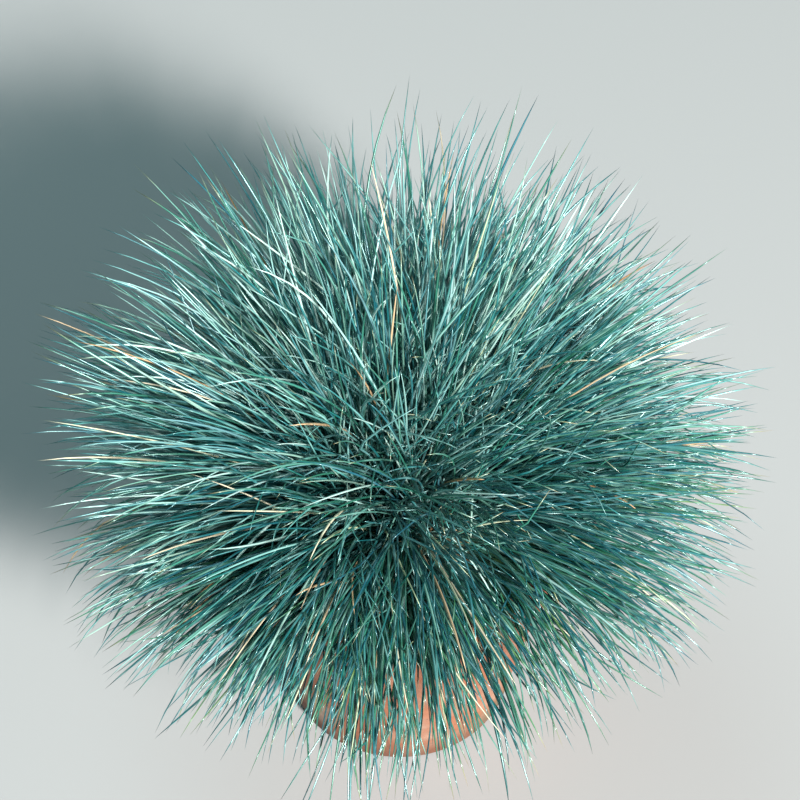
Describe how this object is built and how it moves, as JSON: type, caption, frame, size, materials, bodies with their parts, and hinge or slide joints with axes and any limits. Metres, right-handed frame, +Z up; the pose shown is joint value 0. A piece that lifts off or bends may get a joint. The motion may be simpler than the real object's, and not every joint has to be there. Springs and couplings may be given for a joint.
{
  "type": "potted blue fescue clump",
  "caption": "Dense rounded clump of blue needle-leaved ornamental grass growing in a plain tapered clay pot, for standing on a patio or shelf.",
  "frame": {"origin": "middle of the pot's flat underside", "axes": "+Z up along the pot's axis; +X to the right and -Y towards the viewer, who looks down on the clump from the front"},
  "size_m": [0.3258, 0.3252, 0.3107],
  "materials": {
    "clay": "matte",
    "soil": "matte",
    "sheaths": "matte",
    "leaf": "satin"
  },
  "bodies": {
    "root": {"pot": "clay", "soil": "soil", "crown": "sheaths", "tuft_centre": "leaf", "tuft_inner_1": "leaf", "tuft_inner_2": "leaf", "tuft_inner_3": "leaf", "tuft_inner_4": "leaf", "tuft_inner_5": "leaf", "tuft_middle_1": "leaf", "tuft_middle_2": "leaf", "tuft_middle_3": "leaf", "tuft_middle_4": "leaf", "tuft_middle_5": "leaf", "tuft_middle_6": "leaf", "tuft_middle_7": "leaf", "tuft_middle_8": "leaf", "tuft_middle_9": "leaf", "tuft_outer_1": "leaf", "tuft_outer_2": "leaf", "tuft_outer_3": "leaf", "tuft_outer_4": "leaf", "tuft_outer_5": "leaf", "tuft_outer_6": "leaf", "tuft_outer_7": "leaf", "tuft_outer_8": "leaf", "tuft_outer_9": "leaf", "tuft_outer_10": "leaf", "tuft_outer_11": "leaf", "tuft_outer_12": "leaf"}
  },
  "joints": []
}
